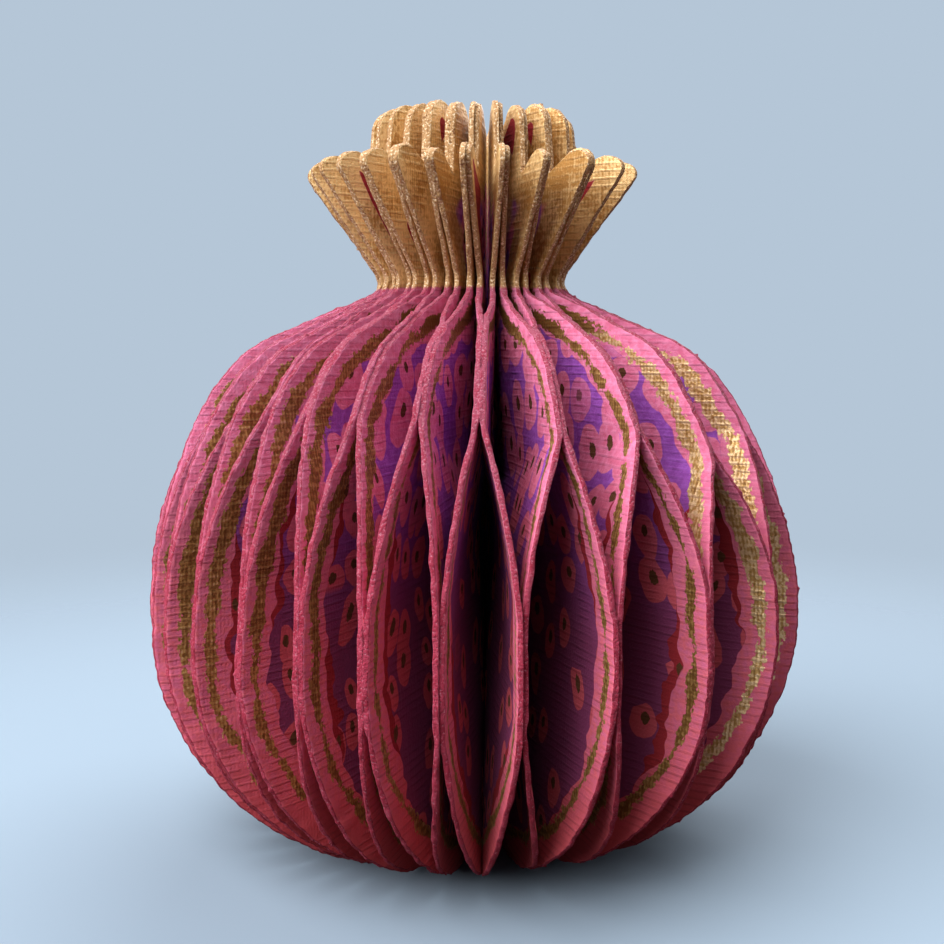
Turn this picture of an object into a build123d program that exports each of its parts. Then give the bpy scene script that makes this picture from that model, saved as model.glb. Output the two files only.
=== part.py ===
from build123d import *
import os
from math import acos, ceil, cos, radians, sin, tan

# Paper pomegranate ornament. Stiff leaves of thick handmade paper, each cut to half of a pomegranate's
# outline, stand on edge round a small open core. Each leaf is glued to one neighbour along its shoulder
# and base and to the other along its belly and crown, so the fan opens into cells.
# Millimetres, +Z up, base centre at the origin, front towards -Y.

# Paper and fan: the fan is tightest towards one plan direction, in degrees from +X, and the leaves lean
# towards that side by up to the slack
LEAF_COUNT = 44
PAPER_THICKNESS = 0.65
GLUE_LINE = 0.05
DENSE_SIDE = -127.5
FAN_SLACK = 25.0

# Outline of the fruit: radii from the axis, curve radii and slopes in degrees
BASE_RADIUS = 12.0
BELLY_RADIUS = 40.0
UPPER_CURVE = 48.2
UPPER_TURN = 37.0
SHOULDER_CURVE = 15.0
SHOULDER_SLOPE = 23.5
NECK_RADIUS = 10.6
NECK_ROUND = 2.0

# Outline of the crown: radii from the axis and rises above the neck
TIP_RADIUS = 20.6
TIP_RISE = 14.0
TIP_ROUND = 1.0
CREST_RADIUS = 17.9
CREST_RISE = 15.3
CREST_ROUND = 3.0
NOTCH_RADIUS = 13.0
NOTCH_RISE = 12.9
INNER_LOBE_RADIUS = 12.0
INNER_LOBE_RISE = 23.7
INNER_LOBE_ROUND = 2.6
SPINE_RISE = 18.0

# The rim is cut in short straight snips that stray from the drawn curve by no more than this
SNIP_DEPTH = 0.09

# Bend lines of the body fan out from one point on the spine and those of the crown from the spine at the
# neck, so the sheet bends without stretching. Each flat field lies between two of them, as degrees above
# the horizontal, and leans to one neighbour (1), where it is glued, or to the other (-1), or part of the
# way, as at the neck. Facets ease one field into the next, fastest at the end that leans the further to 1.
BEND_HEIGHT = 43.5
BEND_FACETS = 4
BEND_EASE = 0.5
NECK_LEAN = -0.3
BODY_FIELDS = ((-90, -65, 1), (-31, -14, -1), (18, 57, 1), (75, 90, NECK_LEAN))
CROWN_FIELDS = ((0, 8, NECK_LEAN), (40, 90, -1))

LEAF_STEP = 360 / LEAF_COUNT
CORE_RADIUS = (PAPER_THICKNESS + GLUE_LINE) / (2 * sin(radians(LEAF_STEP / 2)) * cos(radians(FAN_SLACK)))


def fan_direction(place):
    """Plan direction of the glue plane at a place in the fan: even steps, drawn together on the dense side."""
    even = place * LEAF_STEP
    return DENSE_SIDE + even - FAN_SLACK * sin(radians(even))


def snips(edge):
    """Starting points of the straight cuts that follow one edge of the drawn outline."""
    cuts = 1
    if edge.geom_type == GeomType.CIRCLE:
        turn = radians((edge % 0).get_angle(edge % 1))
        cuts = ceil(turn / (2 * acos(1 - SNIP_DEPTH / edge.radius)))
    return [edge @ (cut / cuts) for cut in range(cuts)]


def bend_rays(fields):
    """Bend lines as (angle, lean) pairs, with each change of lean eased over a few narrow facets."""
    rays = []
    for start, end, lean in fields:
        if rays:
            last_angle, last_lean = rays[-1]
            skew = BEND_EASE if last_lean > lean else -BEND_EASE
            for facet in range(1, BEND_FACETS):
                share = facet / BEND_FACETS
                ease = share * (1 + skew * (1 - share))
                rays.append((last_angle + share * (start - last_angle), last_lean + ease * (lean - last_lean)))
        rays.append((start, lean))
        rays.append((end, lean))
    return rays


def bent_sheet(fields, bend_height, top):
    """Outlines of the flat facets round one bend point, as triangles in (run, height, lean times run)."""
    tip = Vector(0, bend_height, 0)
    ends = []
    for angle, lean in bend_rays(fields):
        across = cos(radians(angle))
        up = sin(radians(angle))
        length = min(reach, (top - bend_height) / up) if up > 0 else reach
        ends.append(Vector(length * across, bend_height + length * up, lean * length * across))
    return [(tip, *pair) for pair in zip(ends, ends[1:])]


# Half outline of the pomegranate, drawn with the spine at x = 0
with BuildLine() as drawn:
    base = Line((0, 0), (BASE_RADIUS - CORE_RADIUS, 0))
    lower_belly = JernArc(base @ 1, (1, 0), BELLY_RADIUS - BASE_RADIUS, 90)
    upper_belly = JernArc(lower_belly @ 1, lower_belly % 1, UPPER_CURVE, UPPER_TURN)
    shoulder = JernArc(upper_belly @ 1, upper_belly % 1, SHOULDER_CURVE, 90 - UPPER_TURN - SHOULDER_SLOPE)
    shoulder_end = shoulder @ 1
    neck = Vector(NECK_RADIUS - CORE_RADIUS, 0)
    neck += Vector(0, shoulder_end.Y + (shoulder_end.X - neck.X) * tan(radians(SHOULDER_SLOPE)))
    tip = Vector(TIP_RADIUS - CORE_RADIUS, neck.Y + TIP_RISE)
    crest = Vector(CREST_RADIUS - CORE_RADIUS, neck.Y + CREST_RISE)
    notch = Vector(NOTCH_RADIUS - CORE_RADIUS, neck.Y + NOTCH_RISE)
    inner_lobe = Vector(INNER_LOBE_RADIUS - CORE_RADIUS, neck.Y + INNER_LOBE_RISE)
    spine_top = Vector(0, neck.Y + SPINE_RISE)
    FilletPolyline(shoulder_end, neck, tip, crest, notch, radius=[NECK_ROUND, TIP_ROUND, CREST_ROUND])
    FilletPolyline(notch, inner_lobe, spine_top, radius=[INNER_LOBE_ROUND])

rim = [point for edge in drawn.wire().order_edges() for point in snips(edge)] + [spine_top]
reach = BELLY_RADIUS + spine_top.Y

facets = bent_sheet(BODY_FIELDS, BEND_HEIGHT, neck.Y) + bent_sheet(CROWN_FIELDS, neck.Y, reach)

os.makedirs("parts", exist_ok=True)

# Leaves, numbered round the fan from its dense side
for number in range(LEAF_COUNT):
    right = fan_direction(number)
    left = fan_direction(number + 1)
    half_cell = radians((left - right) / 2)
    lean_side = 1 if number % 2 else -1
    heading = radians((left + right) / 2)
    spine = radians(DENSE_SIDE + (number + 0.5) * LEAF_STEP)
    leaf_plane = Plane(
        origin=(CORE_RADIUS * cos(spine), CORE_RADIUS * sin(spine), 0),
        x_dir=(cos(heading), sin(heading), 0),
        z_dir=(sin(heading), -cos(heading), 0),
    )
    slant = lean_side * tan(half_cell)
    sheets = []
    for facet in facets:
        corners = [Vector(at.X, at.Y, at.Z * slant - PAPER_THICKNESS / 2) for at in facet]
        sheets.append(Face(Wire.make_polygon([leaf_plane.from_local_coords(corner) for corner in corners])))

    with BuildPart() as leaf:
        extrude(sheets, amount=PAPER_THICKNESS, dir=leaf_plane.z_dir)
        with BuildSketch(leaf_plane) as outline:
            with BuildLine():
                Polyline(*rim, close=True)
            make_face()
        extrude(outline.sketch, amount=reach, both=True, mode=Mode.INTERSECT)
    leaf.part.label = f"leaf_{number + 1:02d}"
    export_step(leaf.part, f"parts/leaf_{number + 1:02d}.step")
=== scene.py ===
from math import atan, cos, pi, radians, sin, tan

import bpy
import numpy as np
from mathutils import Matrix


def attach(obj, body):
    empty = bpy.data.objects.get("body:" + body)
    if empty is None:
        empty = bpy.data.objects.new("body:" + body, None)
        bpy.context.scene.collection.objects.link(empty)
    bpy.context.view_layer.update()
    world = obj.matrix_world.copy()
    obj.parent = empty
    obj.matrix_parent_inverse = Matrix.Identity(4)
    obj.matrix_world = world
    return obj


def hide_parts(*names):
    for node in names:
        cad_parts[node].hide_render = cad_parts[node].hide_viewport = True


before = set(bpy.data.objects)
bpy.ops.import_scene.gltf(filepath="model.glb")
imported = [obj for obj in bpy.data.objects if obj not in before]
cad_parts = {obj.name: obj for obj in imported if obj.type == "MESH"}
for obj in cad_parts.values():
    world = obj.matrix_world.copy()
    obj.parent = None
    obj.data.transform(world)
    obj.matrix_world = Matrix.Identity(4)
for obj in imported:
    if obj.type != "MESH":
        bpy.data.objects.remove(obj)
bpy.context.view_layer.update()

# Leaf outline
# Every leaf is cut from heavy handmade cotton paper to the same half outline of a pomegranate: a level base,
# a round belly, a pinched neck and a crown with an outer and an inner lobe. Its straight inner edge is the
# spine, which stands on the rim of a small open core.
MM = 0.001
LEAF_COUNT = 44
PAPER_THICKNESS = 0.65 * MM
GLUE_LINE = 0.05 * MM
FAN_SLACK = radians(25.0)
DENSE_SIDE = radians(-127.5)
LEAF_STEP = 2 * pi / LEAF_COUNT
CORE_RADIUS = (PAPER_THICKNESS + GLUE_LINE) / (2 * sin(LEAF_STEP / 2) * cos(FAN_SLACK))

BASE_RADIUS = 12.0 * MM
BELLY_RADIUS = 40.0 * MM
LOWER_CURVE = BELLY_RADIUS - BASE_RADIUS
UPPER_CURVE = 48.2 * MM
UPPER_TURN = radians(37.0)
SHOULDER_CURVE = 15.0 * MM
SHOULDER_SLOPE = radians(23.5)
SHOULDER_TURN = pi / 2 - SHOULDER_SLOPE - UPPER_TURN
NECK_RADIUS = 10.6 * MM
SPINE_RISE = 18.0 * MM

# Crown corners as radius from the axis and rise above the neck, and how far each corner is rounded, the neck
# first
TIP = (20.6 * MM, 14.0 * MM)
CREST = (17.9 * MM, 15.3 * MM)
NOTCH = (13.0 * MM, 12.9 * MM)
INNER_LOBE = (12.0 * MM, 23.7 * MM)
CROWN_ROUNDS = np.array([2.0, 1.0, 3.0, 0.0, 2.6]) * MM

PEN_STEPS = 12000
RIM_STEPS = 500
RIM_INSET = 0.25 * MM

upper_out = np.array([cos(UPPER_TURN), sin(UPPER_TURN)])
shoulder_out = np.array([sin(SHOULDER_SLOPE), cos(SHOULDER_SLOPE)])
upper_end = np.array([BELLY_RADIUS - UPPER_CURVE, LOWER_CURVE]) + UPPER_CURVE * upper_out
shoulder_end = upper_end + SHOULDER_CURVE * (shoulder_out - upper_out)
NECK_HEIGHT = shoulder_end[1] + (shoulder_end[0] - NECK_RADIUS) * tan(SHOULDER_SLOPE)
SPINE_TOP = NECK_HEIGHT + SPINE_RISE


def pen_strokes():
    """The outline as pen strokes, each a length and the angle it turns: a straight run turns by nothing, an
    arc by its length over its radius. Each crown corner is eased by an arc that eats radius * tan(turn / 2)
    of both runs."""
    strokes = [
        (BASE_RADIUS - CORE_RADIUS, 0.0),
        (LOWER_CURVE * pi / 2, pi / 2),
        (UPPER_CURVE * UPPER_TURN, UPPER_TURN),
        (SHOULDER_CURVE * SHOULDER_TURN, SHOULDER_TURN),
    ]
    crown = np.array([(NECK_RADIUS, 0.0), TIP, CREST, NOTCH, INNER_LOBE, (CORE_RADIUS, SPINE_RISE)])
    corners = np.vstack([shoulder_end, crown + (0, NECK_HEIGHT)])
    legs = np.diff(corners, axis=0)
    turns = np.diff(np.unwrap(np.arctan2(legs[:, 1], legs[:, 0])))
    eaten = CROWN_ROUNDS * np.tan(np.abs(turns) / 2)
    runs = np.hypot(legs[:, 0], legs[:, 1]) - np.append(eaten, 0) - np.insert(eaten, 0, 0)
    for run, turn, radius in zip(runs, turns, CROWN_ROUNDS):
        strokes += [(run, 0.0), (radius * abs(turn), turn)]
    return np.array(strokes + [(runs[-1], 0.0)])


def draw_outline():
    """Distances along the outline at even steps, the points and outward directions there, and where each
    stroke starts. The heading at a distance is the sum of the turns passed, and the place is the running sum
    of the heading's cosine and sine, from the foot of the spine."""
    lengths, turns = pen_strokes().T
    starts = np.cumsum(lengths) - lengths
    fine = np.linspace(0, lengths.sum(), PEN_STEPS)
    passed = np.clip((fine[:, None] - starts) / np.maximum(lengths, 1e-9), 0, 1)
    heading = passed @ turns
    middle = (heading[1:] + heading[:-1]) / 2
    step = fine[1] - fine[0]
    x = np.append(0, np.cumsum(np.cos(middle)) * step)
    z = np.append(0, np.cumsum(np.sin(middle)) * step)
    along = np.linspace(RIM_INSET, lengths.sum() - RIM_INSET, RIM_STEPS)
    turned = np.interp(along, fine, heading)
    rim = np.stack([np.interp(along, fine, x), np.interp(along, fine, z)], axis=1)
    return along, rim, np.stack([np.sin(turned), -np.cos(turned)], axis=1), starts


rim_along, rim_points, rim_out, stroke_starts = draw_outline()

# Bends and glue lines
# A leaf is flat where it is glued to a neighbour and bends in between: along lines that fan out from one
# point of the spine in the body, and from the spine at the neck in the crown, so the paper curves and never
# stretches. The glue was brushed on by hand, so its lines start, end and stand a little unevenly.
BEND_HEIGHT = 43.5 * MM
BEND_EASE = 0.5
NECK_LEAN = -0.3

# Flat fields, each from one bend angle to another in degrees and the lean between them, 1 to one neighbour
# and -1 to the other
BODY_FIELDS = np.array([(-90, -65, 1), (-31, -14, -1), (18, 57, 1), (75, 90, NECK_LEAN)])
CROWN_FIELDS = np.array([(0, 8, NECK_LEAN), (40, 90, -1)])
BELLY_FIELD = 1
SHOULDER_FIELD = 2

# Rounding of the bends and slips of the glue lines, in degrees, and those at the front as they were set: by
# plan direction, and by where the shoulder line starts
BEND_ROUND = 1.6
BEND_SAMPLES = 5
BELLY_SLIP = 2.5
SHOULDER_SLIP = 4.5
UPPER_END_SHARE = 0.8
DIRECTION_SLIP = 0.5
MOST_SLIP = 1.6
FRONT_SET = {2: 1.9, 4: 1.1, 7: -1.1, 8: -1.2, 10: -1.6}
FRONT_SPLIT = {7: 1.2, 9: -2.2, 11: -2.0}

chance = np.random.default_rng(44)


def slips(shape, size):
    """Seeded normal slips of the given size, cut off where they pass MOST_SLIP times it."""
    return np.clip(chance.normal(0, 1, shape), -MOST_SLIP, MOST_SLIP) * size


belly_slip = slips((LEAF_COUNT, 2), BELLY_SLIP)
shoulder_slip = slips((LEAF_COUNT, 2), SHOULDER_SLIP)
direction_slip = slips(LEAF_COUNT, radians(DIRECTION_SLIP))
for place, degrees_set in FRONT_SET.items():
    direction_slip[place] = radians(degrees_set)
for place, degrees_set in FRONT_SPLIT.items():
    shoulder_slip[place, 0] = degrees_set


def fan_direction(place):
    """Plan direction of a glue line: even steps drawn together on the dense side, with its own slip."""
    even = place * LEAF_STEP
    return DENSE_SIDE + even - FAN_SLACK * sin(even) + direction_slip[place % LEAF_COUNT]


def body_fields(number):
    """Flat fields of a leaf's body: the belly field slips with the glue line that it shares with one
    neighbour, and the shoulder field with the one that it shares with the other."""
    fields = BODY_FIELDS.copy()
    belly_line = (number + number % 2) % LEAF_COUNT
    shoulder_line = (number + 1 - number % 2) % LEAF_COUNT
    fields[BELLY_FIELD, :2] += belly_slip[belly_line]
    fields[SHOULDER_FIELD, :2] += shoulder_slip[shoulder_line] * (1.0, UPPER_END_SHARE)
    return fields


def eased_lean(angle, fields):
    """Lean at a bend angle, from -1 to 1: constant in each field, and between two fields
    t * (1 + k * (1 - t)), which leaves the field that leans further to 1 fast and settles slowly into the
    other."""
    value = np.full_like(angle, fields[0, 2])
    for (_, end, before), (start, _, after) in zip(fields, fields[1:]):
        t = np.clip((angle - end) / (start - end), 0, 1)
        skew = BEND_EASE if before > after else -BEND_EASE
        value = value + (after - before) * t * (1 + skew * (1 - t))
    return value


def lean(x, z, number):
    """Lean at each point of a leaf, averaged over a few degrees, because stiff paper rounds every bend."""
    body = np.degrees(np.arctan2(z - BEND_HEIGHT, x))
    crown = np.degrees(np.arctan2(z - NECK_HEIGHT, x))
    turns = np.linspace(-BEND_ROUND, BEND_ROUND, BEND_SAMPLES)
    in_body = sum(eased_lean(body + turn, body_fields(number)) for turn in turns) / len(turns)
    in_crown = sum(eased_lean(crown + turn, CROWN_FIELDS) for turn in turns) / len(turns)
    return np.where(z > NECK_HEIGHT, in_crown, in_body)


# Print
# Both faces are printed before cutting with a generic pomegranate section: a pink skin, a ragged band of
# bronze ink, a pink pith edged with dark red crescents, a purple field of pink seeds with dark pips, and a
# gold crown with dark red streaks. The lines of the paper mould show through every ink, with painted shade in
# their grooves. The colours carry painted shade at the foot and at the neck, and below the shoulder they are
# darker and redder, partly their own colours and partly painted shade. The pale gold on the right leaves' near
# faces is a painted highlight.
PINK = (222, 130, 166)
PINK_DEEP = (208, 104, 138)
# Darker, redder pink below the shoulder: partly the print's own colour, partly painted shade
PINK_WARM = (216, 104, 120)
# Painted shade: the pink turns to this darker red towards the foot
PINK_FOOT_SHADE = (198, 82, 92)
PURPLE = (156, 88, 186)
PURPLE_DEEP = (138, 70, 162)
# Wine field and red seeds below the shoulder: partly the print's own colours, partly painted shade
WINE = (120, 52, 90)
SEED_RED = (192, 82, 94)
CRESCENT_RED = (144, 38, 46)
PIP_BROWN = (84, 54, 30)
BRONZE_DEEP = (126, 90, 48)
BRONZE = (182, 144, 86)
BRONZE_PALE = (222, 192, 146)
CROWN_DEEP = (174, 127, 69)
CROWN_GOLD = (240, 204, 146)
# Painted shade laid into the grooves of the laid lines, and how much of it
GROOVE_PAINTED_SHADE = (72, 26, 36)
GROOVE_SHADE_SHARE = 0.24
PRINT_RELIEF = 0.05 * MM

# Sizes of the print in millimetres, those of seeds and pips in widths of a seed's cell
MAP_SPAN = 100.0
LAID_PITCH = 0.86
CHAIN_PITCH = 0.46
LAID_WAVER = 0.22
FIELD_DEPTH = 4.1
SCALLOP_PITCH = 4.4
CRESCENT_WIDTH = 1.1
LOBE_PITCH = 2.3
SEED_CELL = (4.3, 5.6)
SEED_RADIUS = 0.33
PIP_RISE = 0.09
PIP_OUTER = 0.135
PIP_INNER = 0.115
THREAD_CELL = (0.40, 0.46)
BAND_DEPTH = 1.95
BAND_HALF = 0.44
STREAK_DEPTH = 2.6
STREAK_HALF = 1.3
BARE_DEPTH = (3.0, 4.0)

# Heights on the leaf, in millimetres, from which and to which a part of the print and of its painted shade
# comes in
# Below the shoulder the pink, purple and seeds turn darker and redder: partly the print's own colours, partly
# painted shade
SHOULDER_INKS = (30.0, 52.0)
# Heights over which the painted shade at the foot comes in
FOOT_SHADE_HEIGHTS = (26.0, 6.0)
CRESCENTS_BEGIN = (5.0, 13.0)
CRESCENTS_END = (48.0, 40.0)
BAND_SINKS = (24.0, 4.0)
LOAD_BEGINS = (18.0, 38.0)
LOAD_ENDS = (62.0, 54.0)
# Heights of the neck patch: its band is wider there, and darkened to deep bronze as painted shade
NECK_PATCH_AND_SHADE = (61.6, 63.0)
BARE_ENDS = (80.0, 73.0)

# Pitches of the noise in the print in millimetres, and steps that give each leaf's faces noise of their own
BROAD_PITCH = 6.5
MIDDLE_PITCH = 2.6
FINE_PITCH = 0.42
MOTTLE_PITCH = 0.9
GRAIN_PITCH = 0.3
WAVER_PITCH = 3.0
STRENGTH_PITCH = 4.0
CRUMPLE_PITCH = 0.8
EDGING_PITCH = 3.6
STRAY_PITCH = 9.0
SWAY_PITCH = 11.0
LENS_PITCH = 15.0
FACE_ACROSS = 41.7
FACE_UP = 97.3
FACE_ALONG = 90.0


def linear(colour):
    """A colour written as 0 to 255 screen values, as the linear values that a shader takes."""
    screen = np.array(colour) / 255
    value = np.where(screen <= 0.04045, screen / 12.92, ((screen + 0.055) / 1.055) ** 2.4)
    return (*value.tolist(), 1.0)


class Finish:
    """A material's node tree, with short ways to add the few kinds of node that the finishes need."""

    def __init__(self, name):
        self.material = bpy.data.materials.new(name)
        self.material.use_nodes = True
        self.tree = self.material.node_tree
        self.shader = self.tree.nodes["Principled BSDF"]

    def put(self, socket, value):
        """Link an output to a socket, or set the socket to a number or a vector."""
        if isinstance(value, bpy.types.NodeSocket):
            self.tree.links.new(value, socket)
        else:
            socket.default_value = value

    def node(self, kind, **settings):
        """New node with the given settings."""
        node = self.tree.nodes.new(kind)
        for name, value in settings.items():
            setattr(node, name, value)
        return node

    def math(self, operation, a, b=0.0, c=0.0):
        """One step of arithmetic on numbers."""
        node = self.node("ShaderNodeMath", operation=operation)
        for socket, value in zip(node.inputs, (a, b, c)):
            self.put(socket, value)
        return node.outputs[0]

    def blend(self, *terms):
        """Sum of (value, weight) terms, with plain numbers for a constant."""
        total = 0.0
        for value, weight in terms:
            total = self.math("MULTIPLY_ADD", value, weight, total)
        return total

    def both(self, *masks):
        """Product of masks."""
        result = masks[0]
        for other in masks[1:]:
            result = self.math("MULTIPLY", result, other)
        return result

    def off(self, value, level):
        """Distance of a value from a level."""
        return self.math("ABSOLUTE", self.math("SUBTRACT", value, level))

    def place(self, operation, a, b):
        """One step of arithmetic on places."""
        node = self.node("ShaderNodeVectorMath", operation=operation)
        self.put(node.inputs[0], a)
        self.put(node.inputs[1], b)
        return node.outputs[0]

    def axes(self, place):
        """The x and y of a place."""
        node = self.node("ShaderNodeSeparateXYZ")
        self.put(node.inputs[0], place)
        return node.outputs[0], node.outputs[1]

    def point(self, x, y):
        """The place with the given x and y."""
        node = self.node("ShaderNodeCombineXYZ")
        self.put(node.inputs[0], x)
        self.put(node.inputs[1], y)
        return node.outputs[0]

    def length(self, place):
        """Distance of a place from the origin."""
        node = self.node("ShaderNodeVectorMath", operation="LENGTH")
        self.put(node.inputs[0], place)
        return node.outputs["Value"]

    def ramp(self, value, low, high):
        """0 at low, 1 at high, eased between."""
        node = self.node("ShaderNodeMapRange", interpolation_type="SMOOTHSTEP")
        for socket, given in zip(node.inputs, (value, low, high, 0.0, 1.0)):
            self.put(socket, given)
        return node.outputs[0]

    def mix(self, share, first, second):
        """Colour between two, each an output or a written colour."""
        node = self.node("ShaderNodeMix", data_type="RGBA")
        self.put(node.inputs["Factor"], share)
        for socket, colour in ((node.inputs[6], first), (node.inputs[7], second)):
            self.put(socket, colour if isinstance(colour, bpy.types.NodeSocket) else linear(colour))
        return node.outputs[2]

    def noise(self, place, pitch, detail=2.0):
        """Noise about 0 with features of about the given pitch, mostly from -0.25 to 0.25."""
        node = self.node("ShaderNodeTexNoise", noise_dimensions="2D")
        self.put(node.inputs["Vector"], place)
        self.put(node.inputs["Scale"], 1 / pitch)
        self.put(node.inputs["Detail"], detail)
        return self.math("SUBTRACT", node.outputs[0], 0.5)

    def cells(self, place, size, randomness=0.6):
        """Offset from the middle of the nearest cell of a jittered grid, in cell widths, and that cell's own
        random number."""
        scaled = self.place("MULTIPLY", place, (1 / size[0], 1 / size[1], 0.0))
        node = self.node("ShaderNodeTexVoronoi", voronoi_dimensions="2D", feature="F1")
        self.put(node.inputs["Vector"], scaled)
        self.put(node.inputs["Scale"], 1.0)
        self.put(node.inputs["Randomness"], randomness)
        parts = self.node("ShaderNodeSeparateColor")
        self.put(parts.inputs[0], node.outputs["Color"])
        return self.place("SUBTRACT", scaled, node.outputs["Position"]), parts.outputs[0]

    def attribute(self, name):
        """A number that the mesh carries at every point."""
        return self.node("ShaderNodeAttribute", attribute_name=name).outputs["Fac"]

    def sheet(self):
        """Run from the spine and height on the flat sheet, in millimetres."""
        flat = self.node("ShaderNodeUVMap", uv_map="print").outputs[0]
        return self.axes(self.place("MULTIPLY", flat, (MAP_SPAN, MAP_SPAN, 0.0)))

    def relief(self, height, distance):
        """Fine relief of the surface, as deep as the distance."""
        node = self.node("ShaderNodeBump")
        node.inputs["Distance"].default_value = distance
        self.put(node.inputs["Height"], height)
        self.put(self.shader.inputs["Normal"], node.outputs[0])


class PrintedPaper(Finish):
    """Inks laid one over the other, each a mask made from the depth behind the rim, the height on the leaf,
    the run along the rim and noise that differs from face to face."""

    def __init__(self):
        super().__init__("printed_paper")
        self.across, self.height = self.sheet()
        self.depth = self.attribute("rim_depth")
        self.along = self.blend((self.attribute("near_face"), FACE_ALONG), (self.attribute("rim_run"), 1.0))
        self.ink_load_and_light = self.attribute("ink_load_and_light")
        face = self.attribute("leaf_face")
        own_across = self.blend((face, FACE_ACROSS), (self.across, 1.0))
        own_height = self.blend((face, FACE_UP), (self.height, 1.0))
        self.own = self.point(own_across, own_height)
        self.upper = self.ramp(self.height, *SHOULDER_INKS)
        self.broad = self.noise(self.own, BROAD_PITCH, 1.0)
        self.middle = self.noise(self.moved(31.0, 7.0), MIDDLE_PITCH, 1.0)
        self.fine = self.noise(self.own, FINE_PITCH, 2.0)
        self.mould_lines()
        self.purple_field()
        self.seeds_and_pips()
        self.bronze_and_gold()
        self.lay_inks()
        self.tooth()

    def moved(self, across, up):
        """Place on the face moved aside, for noise that differs from the rest."""
        return self.place("ADD", self.own, (across, up, 0.0))

    def mould_lines(self):
        """Laid lines as a sine of the height that wavers, stronger in some places, chain lines as a finer
        sine across them, and upright crumples."""
        waver = self.blend((self.noise(self.own, WAVER_PITCH, 2.0), LAID_WAVER), (self.height, 1.0))
        self.laid = self.math("SINE", self.math("MULTIPLY", waver, 2 * pi / LAID_PITCH))
        self.chain = self.math("SINE", self.blend((self.laid, 0.5), (self.across, 2 * pi / CHAIN_PITCH)))
        strength = self.ramp(self.noise(self.own, STRENGTH_PITCH, 2.0), -0.25, 0.25)
        self.groove = self.both(self.ramp(self.laid, 0.2, 1.0), strength)
        upright = self.place("MULTIPLY", self.own, (1.0, 0.12, 0.0))
        self.crumple = self.noise(upright, CRUMPLE_PITCH, 2.0)

    def purple_field(self):
        """Purple field deeper behind the rim than a scalloped border that sways, and dark red crescents
        between it and the pith: lenses with small lobes, below the shoulder, where slow noise along the rim
        is high."""
        sway = self.noise(self.point(self.along, 0.0), SWAY_PITCH, 1.0)
        scallop = self.math("SINE", self.blend((sway, 14.0), (self.along, 2 * pi / SCALLOP_PITCH)))
        border = self.blend(
            (sway, 3.2), (scallop, 0.2), (self.middle, 1.0), (self.upper, -1.3), (1.0, FIELD_DEPTH)
        )
        lower = self.both(self.ramp(self.height, *CRESCENTS_BEGIN), self.ramp(self.height, *CRESCENTS_END))
        slow = self.noise(self.point(self.along, 40.0), LENS_PITCH, 0.0)
        lens = self.both(self.ramp(slow, -0.02, 0.16), lower)
        lobe = self.math("SINE", self.blend((sway, 6.0), (self.along, pi / LOBE_PITCH)))
        lobes = self.math("ABSOLUTE", lobe)
        lens_width = self.both(lens, self.blend((lobes, 0.35), (self.middle, 0.8), (1.0, CRESCENT_WIDTH)))
        self.inside = self.blend((self.depth, 1.0), (border, -1.0))
        self.crescent = self.ramp(self.inside, -0.05, 0.05)
        self.field = self.ramp(self.blend((self.inside, 1.0), (lens_width, -1.0)), -0.05, 0.05)

    def seeds_and_pips(self):
        """Seeds as uneven rounds in the cells of a jittered grid that strays, larger and closer together
        towards the shoulder, each with a pip a little above its middle."""
        stray = self.noise(self.moved(17.0, 71.0), STRAY_PITCH, 0.0)
        strayed = self.place("ADD", self.own, self.point(self.blend((stray, 3.4)), self.blend((stray, -2.4))))
        from_seed, seed_own = self.cells(strayed, SEED_CELL)
        kept = self.ramp(self.blend((self.upper, 0.32), (seed_own, 1.0)), 0.35, 0.37)
        radius = self.blend((self.upper, 0.13), (seed_own, 0.06), (1.0, SEED_RADIUS))
        reach = self.blend((self.middle, 0.16), (self.fine, 0.03), (self.length(from_seed), 1.0))
        in_seed = self.ramp(self.math("SUBTRACT", radius, reach), -0.012, 0.012)
        self.seed = self.both(kept, self.field, in_seed)
        from_pip = self.length(self.place("SUBTRACT", from_seed, (0.0, PIP_RISE, 0.0)))
        in_pip = self.ramp(self.blend((self.fine, 0.08), (from_pip, 1.0)), PIP_OUTER, PIP_INNER)
        self.pip = self.both(kept, self.ramp(self.inside, -0.2, 0.2), in_pip)

    def bronze_and_gold(self):
        """Bronze band of woven-looking cells about a line behind the rim, which sinks towards the base:
        ragged, and as wide as the leaf's ink load makes it. The crown is all gold, apart from its bare
        middle and from lens-shaped streaks behind the rim."""
        self.from_thread, self.weave = self.cells(self.own, THREAD_CELL)
        edging = self.noise(self.moved(5.0, 53.0), EDGING_PITCH, 2.0)
        sunk = self.ramp(self.height, *BAND_SINKS)
        band_line = self.blend((self.broad, 1.3), (sunk, 1.5), (1.0, BAND_DEPTH))
        self.neck_patch_and_shade = self.ramp(self.height, *NECK_PATCH_AND_SHADE)
        loaded = self.both(self.ramp(self.height, *LOAD_ENDS), self.ramp(self.height, *LOAD_BEGINS))
        load = self.both(self.ink_load_and_light, loaded)
        band_half = self.blend((edging, 1.7), (self.neck_patch_and_shade, 0.4), (sunk, 0.15), (load, 1.0), (1.0, BAND_HALF))
        off_line = self.off(self.depth, band_line)
        ragged = self.blend((self.weave, 0.5), (self.fine, 0.5), (band_half, 1.0), (off_line, -1.0))
        band = self.ramp(ragged, 0.16, 0.30)

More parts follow.
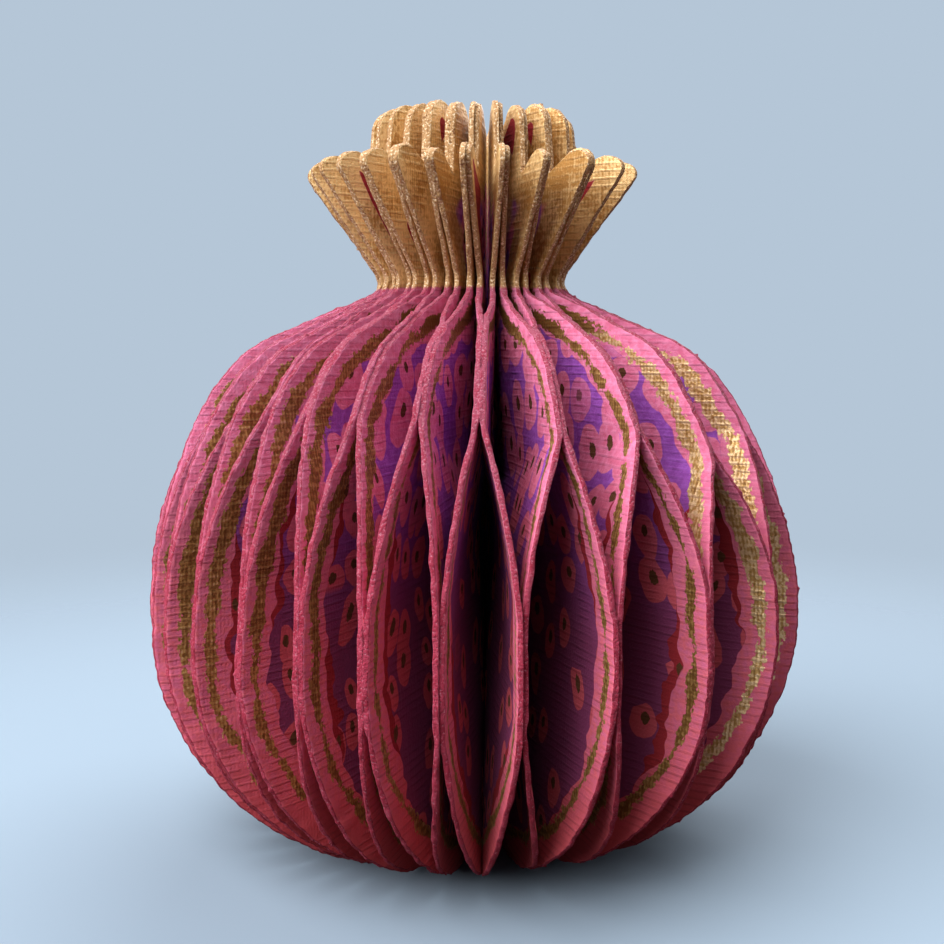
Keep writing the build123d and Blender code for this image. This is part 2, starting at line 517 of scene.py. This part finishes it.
        neck_line = self.blend((self.fine, 0.6), (self.height, 1.0))
        self.crown = self.ramp(neck_line, NECK_HEIGHT / MM - 0.2, NECK_HEIGHT / MM + 0.1)
        slow = self.noise(self.point(self.along, 80.0), LENS_PITCH, 0.0)
        streak_width = self.ramp(slow, 0.10, 0.26)
        in_streak = self.blend((streak_width, STREAK_HALF), (self.off(self.depth, STREAK_DEPTH), -1.0))
        self.streak = self.both(self.crown, self.ramp(in_streak, 0.08, 0.20))
        inner = self.ramp(self.blend((self.broad, 30.0), (self.height, 1.0)), *BARE_ENDS)
        bare = self.math("MAXIMUM", self.streak, self.both(self.ramp(self.depth, *BARE_DEPTH), inner))
        gilded = self.both(self.crown, self.ramp(bare, 1.0, 0.0))
        self.gold = self.math("MAXIMUM", self.both(band, self.ramp(self.crown, 1.0, 0.0)), gilded)

    def metal_colour(self):
        """Bronze and gold, paler on some threads and where the leaf's ink tone is pale. The pale tone of the
        right leaves' near faces is a painted highlight, the deep bronze at the neck patch is painted shade, and
        a high ink load pales the crown gold, which on the right leaves is partly painted light.
        """
        thread = self.blend((self.weave, 0.40), (self.laid, 0.10), (self.chain, 0.10), (self.fine, 0.5))
        # the ink tone carries the right leaves' painted highlight
        gilding = self.blend((thread, 1.0), (self.attribute("ink_tone_and_highlight"), 1.0))
        bronze = self.mix(self.ramp(gilding, -0.05, 0.5), BRONZE_DEEP, BRONZE)
        bronze = self.mix(self.ramp(gilding, 0.42, 0.75), bronze, BRONZE_PALE)
        # painted shade: the band turns deep bronze at the neck patch
        bronze = self.mix(self.both(self.neck_patch_and_shade, self.ramp(self.crown, 0.6, 0.0)), bronze, BRONZE_DEEP)
        # a high ink load pales the crown gold: on the right leaves' near faces this is partly painted light
        crown_tone = self.blend((thread, 0.7), (self.broad, 0.9), (self.ink_load_and_light, 0.3))
        gold = self.mix(self.ramp(crown_tone, -0.1, 0.5), CROWN_DEEP, CROWN_GOLD)
        return self.mix(self.crown, bronze, gold)

    def lay_inks(self):
        """Colours of the inks, each a little mottled; below the shoulder darker and redder, partly their own
        colours and partly painted shade; with painted shade at the foot and in the laid lines. Bronze and gold
        are part metal and smoother than the paper."""
        blots = self.noise(self.own, MOTTLE_PITCH, 3.0)
        mottle = self.ramp(self.blend((blots, 1.0), (self.laid, 0.07)), -0.25, 0.25)
        # below the shoulder the inks are darker and redder: partly their own colour, partly painted shade
        pink = self.mix(self.upper, self.mix(mottle, PINK_DEEP, PINK_WARM), self.mix(mottle, PINK_DEEP, PINK))
        # painted shade: darker red pink towards the foot
        pink = self.mix(self.ramp(self.height, *FOOT_SHADE_HEIGHTS), pink, PINK_FOOT_SHADE)
        purple = self.mix(self.upper, WINE, self.mix(mottle, PURPLE_DEEP, PURPLE))
        ink = self.mix(self.crescent, pink, CRESCENT_RED)
        ink = self.mix(self.field, ink, purple)
        ink = self.mix(self.seed, ink, self.mix(self.upper, SEED_RED, pink))
        ink = self.mix(self.pip, ink, PIP_BROWN)
        ink = self.mix(self.streak, ink, CRESCENT_RED)
        ink = self.mix(self.gold, ink, self.metal_colour())
        # painted shade in the laid-line grooves
        ink = self.mix(self.math("MULTIPLY", self.groove, GROOVE_SHADE_SHARE), ink, GROOVE_PAINTED_SHADE)
        metal = self.both(self.gold, self.blend((self.crown, -0.28), (1.0, 0.5)))
        self.put(self.shader.inputs["Base Color"], ink)
        self.put(self.shader.inputs["Metallic"], metal)
        self.put(self.shader.inputs["Roughness"], self.blend((self.gold, -0.42), (1.0, 0.86)))
        self.shader.inputs["Specular IOR Level"].default_value = 0.22

    def tooth(self):
        """Relief: laid and chain lines, crumples, paper grain, and the threads of the bronze ink."""
        grain = self.noise(self.own, GRAIN_PITCH, 4.0)
        paper = self.blend((self.groove, -1.0), (self.chain, 0.08), (self.crumple, 1.0), (grain, 1.1))
        threads = self.both(self.gold, self.length(self.from_thread), self.ramp(self.crown, 1.6, 0.0))
        self.relief(self.blend((paper, 1.0), (threads, -0.7)), PRINT_RELIEF)


# Cut edge
# The raw edge of the dyed sheet, fuzzy pulp with loose paler fibres: deeper crimson at the foot as painted
# shade, and paler rose with more loose fibres towards the shoulder as painted light. Above the neck the ink has
# gilded it, and the dark core shows in specks.
EDGE_CRIMSON = (140, 36, 56)
EDGE_ROSE = (142, 46, 66)
EDGE_PINK = (163, 60, 82)
EDGE_PINK_PAINTED_LIGHT = (149, 72, 92)
# Paler rose of the edge towards the shoulder: painted light
EDGE_FIBRE = (178, 112, 128)
EDGE_GILT = (174, 134, 90)
EDGE_GILT_PALE = (238, 216, 182)
EDGE_SPECK = (120, 84, 54)
FIBRE_RELIEF = 0.16 * MM

# Pitches of the pulp's noise, and heights from which and to which the edge carries painted light and painted
# shade, in millimetres
FIBRE_PITCH = 0.28
BLOTCH_PITCH = 2.6
PAINTED_LIGHT_HEIGHTS = (30.0, 56.0)
PAINTED_SHADE_HEIGHTS = (30.0, 8.0)


def cut_edge():
    """Pulp colour from fibre noise along and across the edge, with painted light towards the shoulder and
    painted shade at the foot, gilded above the neck line.
    """
    pulp = Finish("cut_edge")
    _, height = pulp.sheet()
    strip = pulp.point(pulp.attribute("rim_run"), pulp.attribute("edge_across"))
    fibre = pulp.noise(strip, FIBRE_PITCH, 4.0)
    blotch = pulp.noise(strip, BLOTCH_PITCH, 2.0)
    painted_light_above = pulp.ramp(height, *PAINTED_LIGHT_HEIGHTS)
    foot = pulp.ramp(height, *PAINTED_SHADE_HEIGHTS)
    # painted light: paler towards the shoulder; painted shade: deeper towards the foot
    tone = pulp.ramp(pulp.blend((blotch, 0.9), (fibre, 0.75), (painted_light_above, 0.06), (foot, -0.12)), -0.26, 0.24)
    dark = pulp.mix(painted_light_above, EDGE_CRIMSON, EDGE_ROSE)
    pale = pulp.mix(painted_light_above, EDGE_PINK, EDGE_PINK_PAINTED_LIGHT)
    loose = pulp.ramp(pulp.blend((painted_light_above, 0.06), (fibre, 1.0)), 0.07, 0.32)
    dyed = pulp.mix(loose, pulp.mix(tone, dark, pale), EDGE_FIBRE)
    speck = pulp.ramp(pulp.blend((blotch, 0.4), (fibre, 1.0)), -0.10, -0.22)
    gilt = pulp.mix(pulp.ramp(fibre, 0.0, 0.24), EDGE_GILT, EDGE_GILT_PALE)
    gilt = pulp.mix(speck, gilt, EDGE_SPECK)
    crown = pulp.ramp(height, NECK_HEIGHT / MM - 0.35, NECK_HEIGHT / MM + 0.15)
    pulp.put(pulp.shader.inputs["Base Color"], pulp.mix(crown, dyed, gilt))
    pulp.put(pulp.shader.inputs["Roughness"], pulp.blend((crown, -0.25), (1.0, 0.95)))
    pulp.shader.inputs["Specular IOR Level"].default_value = 0.15
    pulp.shader.inputs["Sheen Weight"].default_value = 0.16
    pulp.shader.inputs["Sheen Roughness"].default_value = 0.6
    pulp.shader.inputs["Sheen Tint"].default_value = linear(EDGE_FIBRE)
    pulp.relief(fibre, FIBRE_RELIEF)
    return pulp.material


# Leaves
# Forty-four stiff sheets stand round the core, evenly at the spine and drawn together on one side at the rim.
# They were cut by hand, so each rim wanders, is thinned and fuzzy and has a few burrs. Where two are glued,
# they are pressed together and their edges felt into one. Ink lies thicker or paler on some leaves; the paler
# gold on the right leaves' near faces is painted light.
SHARE = np.array([0, 0.3, 0.56, 0.76, 0.885, 0.955, 0.99, 1.0])
EDGE_PLACES = np.array([0, 0.14, 0.5, 0.86, 1])
EDGE_SWELL = 0.09 * MM
FUZZ = 0.045 * MM
THINNED = 0.045 * MM
PRESSED = 0.07 * MM
GLUED_FROM = 0.95
GLUE_OVERLAP = 0.008 * MM
SET_DEPTH = 0.10 * MM
BURR = 0.30 * MM
BURR_SHARE = 0.012
RUN_PER_LEAF = 200.0

# Wander of the rim as (smoothing in rim steps, size), that which two glued leaves share and each one's own,
# which is calm at the ends of the rim and less above the neck
SHARED_WANDER = ((16, 0.10 * MM), (5, 0.03 * MM))
OWN_WANDER = ((9, 0.04 * MM), (3, 0.02 * MM), (1, 0.04 * MM))
CALM_STEPS = 12
CROWN_CALM = 0.5

# Height on the spine, in millimetres, that the rim looks back to at the start of each of these strokes
SPINE_STROKES = [1, 2, 3, 4, 5, 7, 9, 11, 12]
SPINE_HEIGHTS = [0, 28, 50, 58, 61, 69, 72, 76, 79]

# Ink load and tone of the faces that show, by leaf and by its far or near face. The paler tone of the right
# leaves' near faces is a painted highlight, and the ink load also pales the crown gold, on the right partly as
# painted light.
LEFT_LEAVES = np.r_[36:44, 0:4]
FRONT_LEAVES = np.r_[4:12]
RIGHT_LEAVES = np.r_[12:17]
FAR_FACE = 0
NEAR_FACE = 1
INK_LOAD = (-0.1, 0.6)
LEFT_LOAD = 0.45
FRONT_LOAD = 0.0
# On the right leaves' near faces the load also pales the crown gold, partly as painted light
RIGHT_LOAD = 0.4
INK_TONE = (-0.08, 0.08)
# Painted highlight: paler gold on the right leaves' near faces
RIGHT_PAINTED_HIGHLIGHT = 0.35


def rough(spread):
    """Random wander along the rim: seeded noise smoothed over a number of steps, with unit spread."""
    reach = np.arange(-3 * spread, 3 * spread + 1)
    weight = np.exp(-0.5 * (reach / spread) ** 2)
    wander = np.convolve(chance.normal(0, 1, RIM_STEPS + len(weight) - 1), weight, mode="valid")
    return wander / np.sqrt((weight**2).sum())


def spine_heights():
    """Height on the spine that each rim point looks back to, so that the grid's runs never cross."""
    places = np.append(stroke_starts[SPINE_STROKES], rim_along[-1])
    places[0] = rim_along[0]
    heights = np.append(np.array(SPINE_HEIGHTS) * MM, SPINE_TOP)
    return np.interp(rim_along, places, heights)[:, None]


def sheet_grid(rim):
    """Run and height of a face's points: shares of the way from the spine to each rim point."""
    return SHARE * rim[:, :1], spine_height + SHARE * (rim[:, 1:] - spine_height)


def over_edge(far_face, edge, near_face):
    """Closed rings of points: up the far face, over the cut edge and down the near face."""
    return np.concatenate([far_face[:, :-1], edge, near_face[:, -2::-1]], axis=1)


def glued(leaning):
    """How far a face is glued, from the lean towards it: 0 below GLUED_FROM, rising straight to 1 at 1."""
    return np.clip((leaning - GLUED_FROM) / (1 - GLUED_FROM), 0, 1)


def half_gap(place):
    """Distance from a glued sheet's middle to its glue plane: half the step between spines, seen along the
    plane."""
    return CORE_RADIUS * sin(LEAF_STEP / 2) * cos(fan_direction(place) - DENSE_SIDE - place * LEAF_STEP)


def half_sheet(place, half_cell, glued_here, glued_behind):
    """Distance of a face from the sheet's middle: half a thickness, thinned and fuzzy at the rim by high
    powers of the share. Where it is glued it lies on the glue plane, and where the other face is, it is
    pressed in."""
    fuzz = SHARE**12 * FUZZ * calm_crown[:, None] * rough(2)[:, None]
    free = (fuzz - SHARE**8 * THINNED) * (1 - glued_here)
    to_glue = half_gap(place) / cos(half_cell) + GLUE_OVERLAP - PAPER_THICKNESS / 2
    return PAPER_THICKNESS / 2 + free + glued_here * to_glue - glued_behind * PRESSED


spine_height = spine_heights()
rim_ends = np.minimum(np.arange(RIM_STEPS), np.arange(RIM_STEPS)[::-1])
calm_ends = np.clip(rim_ends / CALM_STEPS, 0, 1)
calm_crown = np.where(rim_points[:, 1] > NECK_HEIGHT, CROWN_CALM, 1.0)
shared_wander = [sum(rough(spread) * size for spread, size in SHARED_WANDER) for _ in range(LEAF_COUNT)]


def leaf_points(number):
    """Grid of one leaf in rings over its cut edge, as run, height and distance off its upright plane, and the
    plane's heading. The sheet stands off the plane by x * tan(half cell) * lean. Its edge swells as the root
    of a sine across a free sheet, and of half a sine across one of a glued pair."""
    near = fan_direction(number)
    far = fan_direction(number + 1)
    half_cell = (far - near) / 2
    side = 1 if number % 2 else -1
    to_near = ((1 + side * lean(rim_points[:, 0], rim_points[:, 1], number)) / 2) ** 2
    wander = to_near * shared_wander[number] + (1 - to_near) * shared_wander[(number + 1) % LEAF_COUNT]
    wander = wander + sum(rough(spread) * size for spread, size in OWN_WANDER) * calm_crown
    wander = wander + chance.normal(0, SET_DEPTH)
    rim = rim_points + rim_out * (wander * calm_ends)[:, None]
    x, z = sheet_grid(rim)

    leaning = side * lean(x, z, number)
    middle = x * tan(half_cell) * leaning
    glued_near = glued(leaning)
    glued_far = glued(-leaning)
    near_half = half_sheet(number, half_cell, glued_near, glued_far)
    far_half = half_sheet(number + 1, half_cell, glued_far, glued_near)

    start = glued_far[:, -1:] * 0.5
    end = 1 - glued_near[:, -1:] * 0.5
    swell = EDGE_SWELL * np.sqrt(np.abs(np.sin(pi * (start + (end - start) * EDGE_PLACES))))
    burr = BURR * (chance.random(RIM_STEPS) < BURR_SHARE) * chance.random(RIM_STEPS)
    swell[:, 1:-1] += np.stack([rough(1) for _ in EDGE_PLACES[1:-1]], axis=1) * FUZZ + burr[:, None]
    edge = rim[:, None, :] + rim_out[:, None, :] * swell[:, :, None]
    edge_off = middle[:, -1:] - far_half[:, -1:] + (far_half + near_half)[:, -1:] * EDGE_PLACES
    x_ring = over_edge(x, edge[:, :, 0], x)
    z_ring = np.maximum(over_edge(z, edge[:, :, 1], z), 0)
    return x_ring, z_ring, over_edge(middle - far_half, edge_off, middle + near_half), (near + far) / 2


def ring_quads(rows, columns):
    """Quads of a tube whose rows are closed rings, and of the caps that join its two faces at either end."""
    ring = np.arange(columns)
    after = (ring + 1) % columns
    here = np.arange(rows - 1)[:, None] * columns
    wall = np.stack([here + ring, here + after, here + columns + after, here + columns + ring], axis=2)
    half = np.arange(columns // 2)
    cap = np.stack([half[:-1], columns - 1 - half[:-1], columns - 1 - half[1:], half[1:]], axis=1)
    return np.concatenate([wall.reshape(-1, 4), cap, cap[:, ::-1] + (rows - 1) * columns])


def depth_behind_rim():
    """Distance in millimetres of each face point of an even leaf from the nearest rim point, a stretch of the
    rim at a time."""
    x, z = sheet_grid(rim_points)
    nearest = []
    for stretch in np.array_split(rim_points, 8):
        reach = np.hypot(x[..., None] - stretch[:, 0], z[..., None] - stretch[:, 1])
        nearest.append(reach.min(axis=2))
    return np.min(nearest, axis=0) / MM


face_depth = depth_behind_rim()
face_columns = len(SHARE) - 1
columns = 2 * face_columns + len(EDGE_PLACES)
depth_ring = over_edge(face_depth, np.zeros((RIM_STEPS, len(EDGE_PLACES))), face_depth)
across_edge = EDGE_PLACES * PAPER_THICKNESS / MM
across_ring = np.concatenate([np.zeros(face_columns), across_edge, np.full(face_columns, across_edge[-1])])
on_near_face = np.arange(columns) > columns // 2
quads = ring_quads(RIM_STEPS, columns)
ring_place = np.tile(np.arange(columns), RIM_STEPS - 1)
on_edge = (ring_place >= face_columns) & (ring_place < face_columns + len(EDGE_PLACES) - 1)
on_edge = np.append(on_edge, np.ones(len(quads) - len(on_edge), bool))
ink_load_and_light = chance.uniform(*INK_LOAD, (LEAF_COUNT, 2))
ink_load_and_light[LEFT_LEAVES, FAR_FACE] = LEFT_LOAD
ink_load_and_light[FRONT_LEAVES] = FRONT_LOAD
ink_load_and_light[RIGHT_LEAVES, NEAR_FACE] = RIGHT_LOAD
ink_tone_and_highlight = chance.uniform(*INK_TONE, (LEAF_COUNT, 2))
ink_tone_and_highlight[RIGHT_LEAVES, NEAR_FACE] = RIGHT_PAINTED_HIGHLIGHT
printed = PrintedPaper().material
raw_edge = cut_edge()

for number in range(LEAF_COUNT):
    x, z, off, heading = leaf_points(number)
    spine = DENSE_SIDE + (number + 0.5) * LEAF_STEP
    east = CORE_RADIUS * cos(spine) + x * cos(heading) + off * sin(heading)
    north = CORE_RADIUS * sin(spine) + x * sin(heading) - off * cos(heading)
    mesh = bpy.data.meshes.new(f"paper_leaf_{number + 1:02d}")
    mesh.from_pydata(np.stack([east, north, z], axis=2).reshape(-1, 3), [], quads)
    mesh.materials.append(printed)
    mesh.materials.append(raw_edge)
    mesh.polygons.foreach_set("material_index", on_edge.astype(np.int32))
    mesh.polygons.foreach_set("use_smooth", np.ones(len(quads), bool))
    corners = np.empty(len(mesh.loops), np.int32)
    mesh.loops.foreach_get("vertex_index", corners)
    flat = np.stack([x.ravel(), z.ravel()], axis=1) / (MAP_SPAN * MM)
    mesh.uv_layers.new(name="print").data.foreach_set("uv", flat[corners].ravel())
    values = {
        "rim_depth": depth_ring,
        "rim_run": rim_along[:, None] / MM + RUN_PER_LEAF * number,
        "edge_across": across_ring,
        "leaf_face": number + 0.5 * on_near_face,
        "near_face": 1.0 * on_near_face,
        "ink_load_and_light": np.where(on_near_face, ink_load_and_light[number, NEAR_FACE], ink_load_and_light[number, FAR_FACE]),
        "ink_tone_and_highlight": np.where(on_near_face, ink_tone_and_highlight[number, NEAR_FACE], ink_tone_and_highlight[number, FAR_FACE]),
    }
    for name, value in values.items():
        carried = np.broadcast_to(value, (RIM_STEPS, columns)).ravel().astype(np.float32)
        mesh.attributes.new(name, "FLOAT", "POINT").data.foreach_set("value", carried)
    mesh.update()
    leaf = bpy.data.objects.new(mesh.name, mesh)
    bpy.context.scene.collection.objects.link(leaf)
    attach(leaf, "root")
    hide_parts(f"leaf_{number + 1:02d}")

# Table top
# A plain pale sheet that the ornament stands on. It fades out behind, so that no horizon shows, and throws
# back less light than its pale colour would.
BACKGROUND = (181, 198, 215)
TABLE = (134, 151, 167)
TABLE_BOUNCE = (84, 70, 66)
TABLE_REACH = 1.2
FADE_START = 0.06
FADE_END = 0.26

floor_mesh = bpy.data.meshes.new("floor")
corner = np.array([(-1, -1, 0), (1, -1, 0), (1, 1, 0), (-1, 1, 0)]) * TABLE_REACH
floor_mesh.from_pydata(corner, [], [(0, 1, 2, 3)])
floor = bpy.data.objects.new("floor", floor_mesh)
bpy.context.scene.collection.objects.link(floor)
table = Finish("pale_table")
table.shader.inputs["Base Color"].default_value = linear(TABLE)
table.shader.inputs["Roughness"].default_value = 0.9
bounce = table.node("ShaderNodeBsdfDiffuse")
bounce.inputs["Color"].default_value = linear(TABLE_BOUNCE)
seen_table = table.node("ShaderNodeMixShader")
table.put(seen_table.inputs[0], table.node("ShaderNodeLightPath").outputs["Is Diffuse Ray"])
table.put(seen_table.inputs[1], table.shader.outputs[0])
table.put(seen_table.inputs[2], bounce.outputs[0])
from_middle = table.length(table.node("ShaderNodeTexCoord").outputs["Object"])
faded = table.node("ShaderNodeMixShader")
table.put(faded.inputs[0], table.ramp(from_middle, FADE_START, FADE_END))
table.put(faded.inputs[1], seen_table.outputs[0])
table.put(faded.inputs[2], table.node("ShaderNodeBsdfTransparent").outputs[0])
table.put(table.tree.nodes["Material Output"].inputs["Surface"], faded.outputs[0])
floor_mesh.materials.append(table.material)

# Studio light
# A large soft window light from the upper left, a weak one from the right and one from behind, in pale
# surroundings that gold reflects.
AMBIENT = 0.07
LAMP_DISTANCE = 0.6
LAMP_SIZE = 0.7

world = bpy.data.worlds.new("studio")
bpy.context.scene.world = world
world.use_nodes = True
tree = world.node_tree
ambient = tree.nodes["Background"]
ambient.inputs["Color"].default_value = (1, 1, 1, 1)
ambient.inputs["Strength"].default_value = AMBIENT
backdrop = tree.nodes.new("ShaderNodeBackground")
backdrop.inputs["Color"].default_value = linear(BACKGROUND)
path = tree.nodes.new("ShaderNodeLightPath")
seen = path.outputs["Is Camera Ray"]
for ray in ("Is Glossy Ray", "Is Transmission Ray"):
    either = tree.nodes.new("ShaderNodeMath")
    either.operation = "MAXIMUM"
    tree.links.new(seen, either.inputs[0])
    tree.links.new(path.outputs[ray], either.inputs[1])
    seen = either.outputs[0]
chosen = tree.nodes.new("ShaderNodeMixShader")
tree.links.new(seen, chosen.inputs[0])
tree.links.new(ambient.outputs[0], chosen.inputs[1])
tree.links.new(backdrop.outputs[0], chosen.inputs[2])
tree.links.new(chosen.outputs[0], tree.nodes["World Output"].inputs["Surface"])


def soft_light(name, bearing, rise, power):
    """Square lamp at a bearing round the object, 0 in front and positive to the right, aimed at the belly."""
    lamp = bpy.data.lights.new(name, "AREA")
    lamp.shape = "SQUARE"
    lamp.size = LAMP_SIZE
    lamp.energy = power
    lit = bpy.data.objects.new(name, lamp)
    across = LAMP_DISTANCE * cos(rise)
    lit.location = (across * sin(bearing), -across * cos(bearing), LOWER_CURVE + LAMP_DISTANCE * sin(rise))
    lit.rotation_euler = (pi / 2 - rise, 0, bearing)
    bpy.context.scene.collection.objects.link(lit)


soft_light("window", bearing=radians(-51), rise=radians(43), power=10.3)
soft_light("side_window", bearing=radians(68), rise=radians(40), power=0.8)
soft_light("back_window", bearing=radians(155), rise=radians(45), power=5.5)

# Camera
# Close in front and a little above the belly, as the photograph was taken. The picture is square, and its
# focal length is given in its pixels.
LOOK_HEIGHT = 45.0 * MM
CAMERA_DISTANCE = 163.5 * MM
CAMERA_RISE = radians(5.8)
PICTURE_WIDTH = 944
FOCAL_LENGTH = 1300

camera_data = bpy.data.cameras.new("camera")
camera_data.angle = 2 * atan(PICTURE_WIDTH / 2 / FOCAL_LENGTH)
camera_data.clip_start = 0.01
camera = bpy.data.objects.new("camera", camera_data)
camera.location = (0, -CAMERA_DISTANCE * cos(CAMERA_RISE), LOOK_HEIGHT + CAMERA_DISTANCE * sin(CAMERA_RISE))
camera.rotation_euler = (pi / 2 - CAMERA_RISE, 0, 0)
bpy.context.scene.collection.objects.link(camera)
bpy.context.scene.camera = camera
bpy.context.scene.view_settings.view_transform = "Standard"
